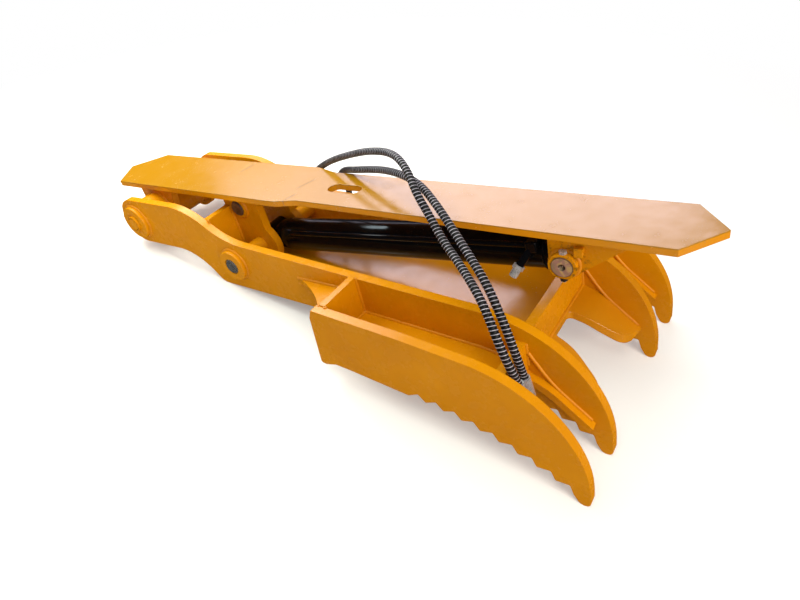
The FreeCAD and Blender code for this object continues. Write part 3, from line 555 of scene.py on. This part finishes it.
# What the beads run along, in the plate frame
PLATE_UNDER = -14
FRONT_EAR = (129, 275)
REAR_EAR = (1329, 1478)
HUB_RADIUS = 47.0
REAR_COLLAR_RADIUS = 27.0
MAIN_COLLAR_RADIUS = 46.5
LINK_COLLAR_RADIUS = 41.5
LOCK_BOSS_RADIUS = 26.5
TUBE_END = 768
WEB_FACES = (467, 485)
WEB_TOP, WEB_FOOT = -48, -203
LUG_FOOT = (487, 560)
FLOOR_TOP = -205
FLOOR_BENDS = ((948, FLOOR_TOP), (1250, -223), (1365, -270), (1445, -342))
FLOOR_END = 1440
DECK_START, BOX_FLOOR_START = 486, 948
CROSS_BEFORE, CROSS_PAST = 1300, 1323
CROSS_FACES = (1302, 1321)
CROSS_FEET = (-243, -252)
CROSS_TOP, SIDE_RUN_TOP, SIDE_RUN_FOOT = -174, -184, -236
BOX_CROSS_FACES = (931, 947)
BOX_CROSS_TOP, BOX_CROSS_FOOT = -116, -204
GUSSET_START = 766
GUSSET_FACES = (-152, -168)


def straight(start, end):
    """Points along a line, one for each ripple of a bead."""
    start, end = Vector(start), Vector(end)
    count = max(2, round((end - start).length / BEAD_STEP))
    return [start.lerp(end, number / count) for number in range(count + 1)]


def around(centre, radius, y):
    """Points round a pivot, in a plane across the thumb."""
    count = round(math.tau * radius / BEAD_STEP)
    return [Vector((centre[0] + radius * math.cos(math.tau * number / count), y,
                    centre[1] + radius * math.sin(math.tau * number / count))) for number in range(count + 1)]


def floor_surface(y, start_x, end_x):
    """Points along the top of the bent floor plates."""
    line = [(start_x, FLOOR_TOP)] + [bend for bend in FLOOR_BENDS if start_x < bend[0]]
    points = []
    for before, after in zip(line, line[1:]):
        points += straight((before[0], y, before[1]), (after[0], y, after[1]))[:-1]
    smooth = []
    for index, point in enumerate(points):
        near = points[max(0, index - BEND_SMOOTHING):index + BEND_SMOOTHING + 1]
        inside = BEND_SMOOTHING <= index < len(points) - BEND_SMOOTHING
        smooth.append(sum(near, Vector()) / len(near) if inside else point)
    return [point for point in smooth if point.x <= end_x]


def bead(points, radius=BEAD_RADIUS, place=at):
    """One ripple-topped bead, as a curve of uneven thickness."""
    curve = bpy.data.curves.new("bead", "CURVE")
    curve.dimensions = "3D"
    curve.bevel_depth = radius / 1000
    curve.bevel_resolution = 1
    curve.use_fill_caps = True
    spline = curve.splines.new("POLY")
    spline.points.add(len(points) - 1)
    for index, (knot, point) in enumerate(zip(spline.points, points)):
        knot.co = (*place(*point), 1)
        knot.radius = RIPPLE[index % 2] + random.uniform(-RIPPLE_SPREAD, RIPPLE_SPREAD)
    holder = bpy.data.objects.new("bead", curve)
    bpy.context.scene.collection.objects.link(holder)
    return holder


def joined_beads(name, body, beads, material):
    """Turns a body's beads into one piece."""
    bpy.ops.object.select_all(action="DESELECT")
    for one in beads:
        one.select_set(True)
    bpy.context.view_layer.objects.active = beads[0]
    bpy.ops.object.convert(target="MESH")
    if len(beads) > 1:
        bpy.ops.object.join()
    piece = bpy.context.view_layer.objects.active
    piece.name = name
    give(piece, material)
    bpy.ops.object.shade_smooth()
    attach(piece, body)
    return piece


def both_sides(points):
    """A run of points and its mirror image on the far side."""
    return [points, [Vector((point[0], -point[1], point[2])) for point in points]]


def root_beads():
    runs = []
    for y in (EAR_IN, EAR_OUT):
        runs += both_sides(straight((FRONT_EAR[0], y, PLATE_UNDER), (FRONT_EAR[1], y, PLATE_UNDER)))
        runs += both_sides(around(PIVOT, HUB_RADIUS, y))
    for y in (REAR_EAR_IN, REAR_EAR_OUT):
        runs += both_sides(straight((REAR_EAR[0], y, PLATE_UNDER), (REAR_EAR[1], y, PLATE_UNDER)))
    runs += both_sides(around(REAR, REAR_COLLAR_RADIUS, REAR_EAR_OUT))
    return [bead(run) for run in runs]


def lug_runs():
    """Beads round the collars, and of the lugs and their webs."""
    runs = []
    runs += both_sides(around(PIVOT, MAIN_COLLAR_RADIUS, SIDE_OUT))
    runs += both_sides(around(LINK, LINK_COLLAR_RADIUS, SIDE_OUT))
    for x in WEB_FACES:
        runs += both_sides(straight((x, SIDE_IN, WEB_TOP), (x, SIDE_IN, WEB_FOOT)))
        runs += both_sides(straight((x, LUG_OUT, WEB_TOP), (x, LUG_OUT, WEB_FOOT)))
    runs += both_sides(straight((LUG_FOOT[0], LUG_OUT, FLOOR_TOP), (LUG_FOOT[1], LUG_OUT, FLOOR_TOP)))
    runs += both_sides(straight((WEB_FACES[1], LUG_OUT, FLOOR_TOP), (WEB_FACES[1], SIDE_IN, FLOOR_TOP)))
    runs += both_sides(around(LOCK, LOCK_BOSS_RADIUS, LUG_OUT))
    return runs


def floor_runs():
    """Beads along the bent floors, and up the cross plates beside them."""
    runs = []
    runs += both_sides(floor_surface(SIDE_IN, DECK_START, CROSS_BEFORE))
    runs += both_sides(floor_surface(SIDE_IN, CROSS_PAST, FLOOR_END))
    for y in (SIDE_OUT, TINE_IN):
        runs += both_sides(floor_surface(y, BOX_FLOOR_START, CROSS_BEFORE))
        runs += both_sides(floor_surface(y, CROSS_PAST, FLOOR_END))
        for x in CROSS_FACES:
            runs += both_sides(straight((x, y, SIDE_RUN_TOP), (x, y, SIDE_RUN_FOOT)))
        for x in BOX_CROSS_FACES:
            runs += both_sides(straight((x, y, BOX_CROSS_TOP), (x, y, BOX_CROSS_FOOT)))
    return runs


def cross_runs():
    """Beads along the feet of the cross plates, and of the gussets behind the boxes."""
    runs = []
    for x, z in zip(CROSS_FACES, CROSS_FEET):
        runs.append(straight((x, -SIDE_IN, z), (x, SIDE_IN, z)))
        runs += both_sides(straight((x, SIDE_OUT, z), (x, TINE_IN, z)))
        runs += both_sides(straight((x, SIDE_IN, CROSS_TOP), (x, SIDE_IN, z)))
    box_rear, box_front = BOX_CROSS_FACES
    runs += both_sides(straight((box_front, SIDE_OUT, FLOOR_TOP), (box_front, TINE_IN, FLOOR_TOP)))
    for z in GUSSET_FACES:
        runs += both_sides(straight((GUSSET_START, SIDE_OUT, z), (box_rear, SIDE_OUT, z)))
        runs += both_sides(straight((box_rear, SIDE_OUT, z), (box_rear, TINE_IN, z)))
    return runs


def thumb_beads():
    return [bead(run) for run in lug_runs() + floor_runs() + cross_runs()]


def barrel_beads():
    """The bead between the tube and its base, measured along the cylinder."""
    hoop = [(TUBE_END, point.x, point.z) for point in around((0, 0), TUBE_RADIUS - TUBE_BEAD_SINK, 0)]
    return [bead(hoop, TUBE_BEAD_RADIUS, on_cylinder)]


# Surroundings, in metres

SKY_LIGHT = 0.38
SKY_MIRRORED = 0.03
FLOOR_SIZE = 30
FLOOR_GLOW = 0.24
FLOOR_MIRRORED = 0.02
FLOOR_FADES = (0.9, 2.2)
NEUTRAL = (0.97, 1.0, 0.9)
LAVENDER = (0.96, 0.87, 1.0)
WARM = (1.0, 0.88, 0.76)


def seen_apart(tree, lit, plain, mirrored):
    """One shader for what lights the object, one for the camera, and one for what the paint mirrors."""
    rays = tree.nodes.new("ShaderNodeLightPath")
    for ray, other in (("Is Camera Ray", plain), ("Is Glossy Ray", mirrored)):
        blend = tree.nodes.new("ShaderNodeMixShader")
        tree.links.new(rays.outputs[ray], blend.inputs["Fac"])
        tree.links.new(lit.outputs[0], blend.inputs[1])
        tree.links.new(other.outputs[0], blend.inputs[2])
        lit = blend
    return lit.outputs[0]


def make_floor():
    """Pale floor that keeps the shadow near the object and turns plain white further out."""
    bpy.ops.object.select_all(action="DESELECT")
    bpy.ops.mesh.primitive_plane_add(size=FLOOR_SIZE, location=(0, 0, 0))
    floor = bpy.context.object
    floor.name = "studio_floor"
    pale = Finish("pale_floor").set(Base_Color=colour(222, 222, 220), Roughness=0.9, Specular_IOR_Level=0.1)
    tree = pale.tree
    lit = pale.shader
    glow, white, mirrored = (tree.nodes.new("ShaderNodeEmission") for _ in range(3))
    glow.inputs["Strength"].default_value = FLOOR_GLOW
    mirrored.inputs["Strength"].default_value = FLOOR_MIRRORED
    near = tree.nodes.new("ShaderNodeAddShader")
    tree.links.new(lit.outputs[0], near.inputs[0])
    tree.links.new(glow.outputs[0], near.inputs[1])
    reach = pale.node("ShaderNodeVectorMath", {0: pale.place()}, output="Value", operation="LENGTH")
    fading = tree.nodes.new("ShaderNodeMixShader")
    tree.links.new(pale.spread(reach, *FLOOR_FADES).socket, fading.inputs["Fac"])
    tree.links.new(near.outputs[0], fading.inputs[1])
    tree.links.new(white.outputs[0], fading.inputs[2])
    tree.links.new(seen_apart(tree, lit, fading, mirrored), tree.nodes["Material Output"].inputs["Surface"])
    give(floor, pale.material)


def make_sky():
    world = bpy.data.worlds.new("studio")
    bpy.context.scene.world = world
    world.use_nodes = True
    tree = world.node_tree
    sky = tree.nodes["Background"]
    plain = tree.nodes.new("ShaderNodeBackground")
    mirrored = tree.nodes.new("ShaderNodeBackground")
    for shader, strength in ((sky, SKY_LIGHT), (plain, 1.0), (mirrored, SKY_MIRRORED)):
        shader.inputs["Color"].default_value = (1, 1, 1, 1)
        shader.inputs["Strength"].default_value = strength
    tree.links.new(seen_apart(tree, sky, plain, mirrored), tree.nodes["World Output"].inputs["Surface"])


def lamp(name, place, target, size, power, tint):
    """Soft panel lamp, size metres wide and high, that faces a target."""
    data = bpy.data.lights.new(name, "AREA")
    data.color = tint
    data.shape = "RECTANGLE"
    data.size, data.size_y = size
    data.energy = power
    holder = bpy.data.objects.new(name, data)
    bpy.context.scene.collection.objects.link(holder)
    holder.location = place
    holder.rotation_euler = (Vector(target) - Vector(place)).to_track_quat("-Z", "Y").to_euler()


def make_lamps():
    lamp("overhead", place=(0.55, -0.8, 2.6), target=(0.3, -0.1, 0.1), size=(1.6, 1.6), power=33,
         tint=NEUTRAL)
    lamp("head_light", place=(-0.95, 0.1, 1.05), target=(-0.75, 0, 0.15), size=(1.0, 1.0), power=29,
         tint=NEUTRAL)
    lamp("front_fill", place=(2.0, -2.4, 2.1), target=(0.1, 0, 0.1), size=(2.5, 2.5), power=6, tint=WARM)
    lamp("right_fill", place=(3.2, -1.0, 1.4), target=(0.5, 0, 0.1), size=(1.5, 1.5), power=74, tint=WARM)

    # Two windows behind the object, which the flat tops of the plates mirror
    lamp("window_right", place=(-1.316, 3.03, 1.85), target=(0.584, 0.428, 0.55), size=(2.75, 1.7), power=53,
         tint=LAVENDER)
    lamp("window_left", place=(-2.83, 1.92, 1.6), target=(-0.927, -0.678, 0.3), size=(1.0, 1.7), power=9.6,
         tint=LAVENDER)


make_camera()
make_hoses()
finish_nodes()
joined_beads("frame_welds", "root", root_beads(), WELD_ORANGE)
joined_beads("thumb_welds", "thumb", thumb_beads(), WELD_ORANGE)
joined_beads("cylinder_welds", "barrel", barrel_beads(), BLACK)
make_floor()
make_sky()
make_lamps()

bpy.context.scene.view_settings.view_transform = "Standard"
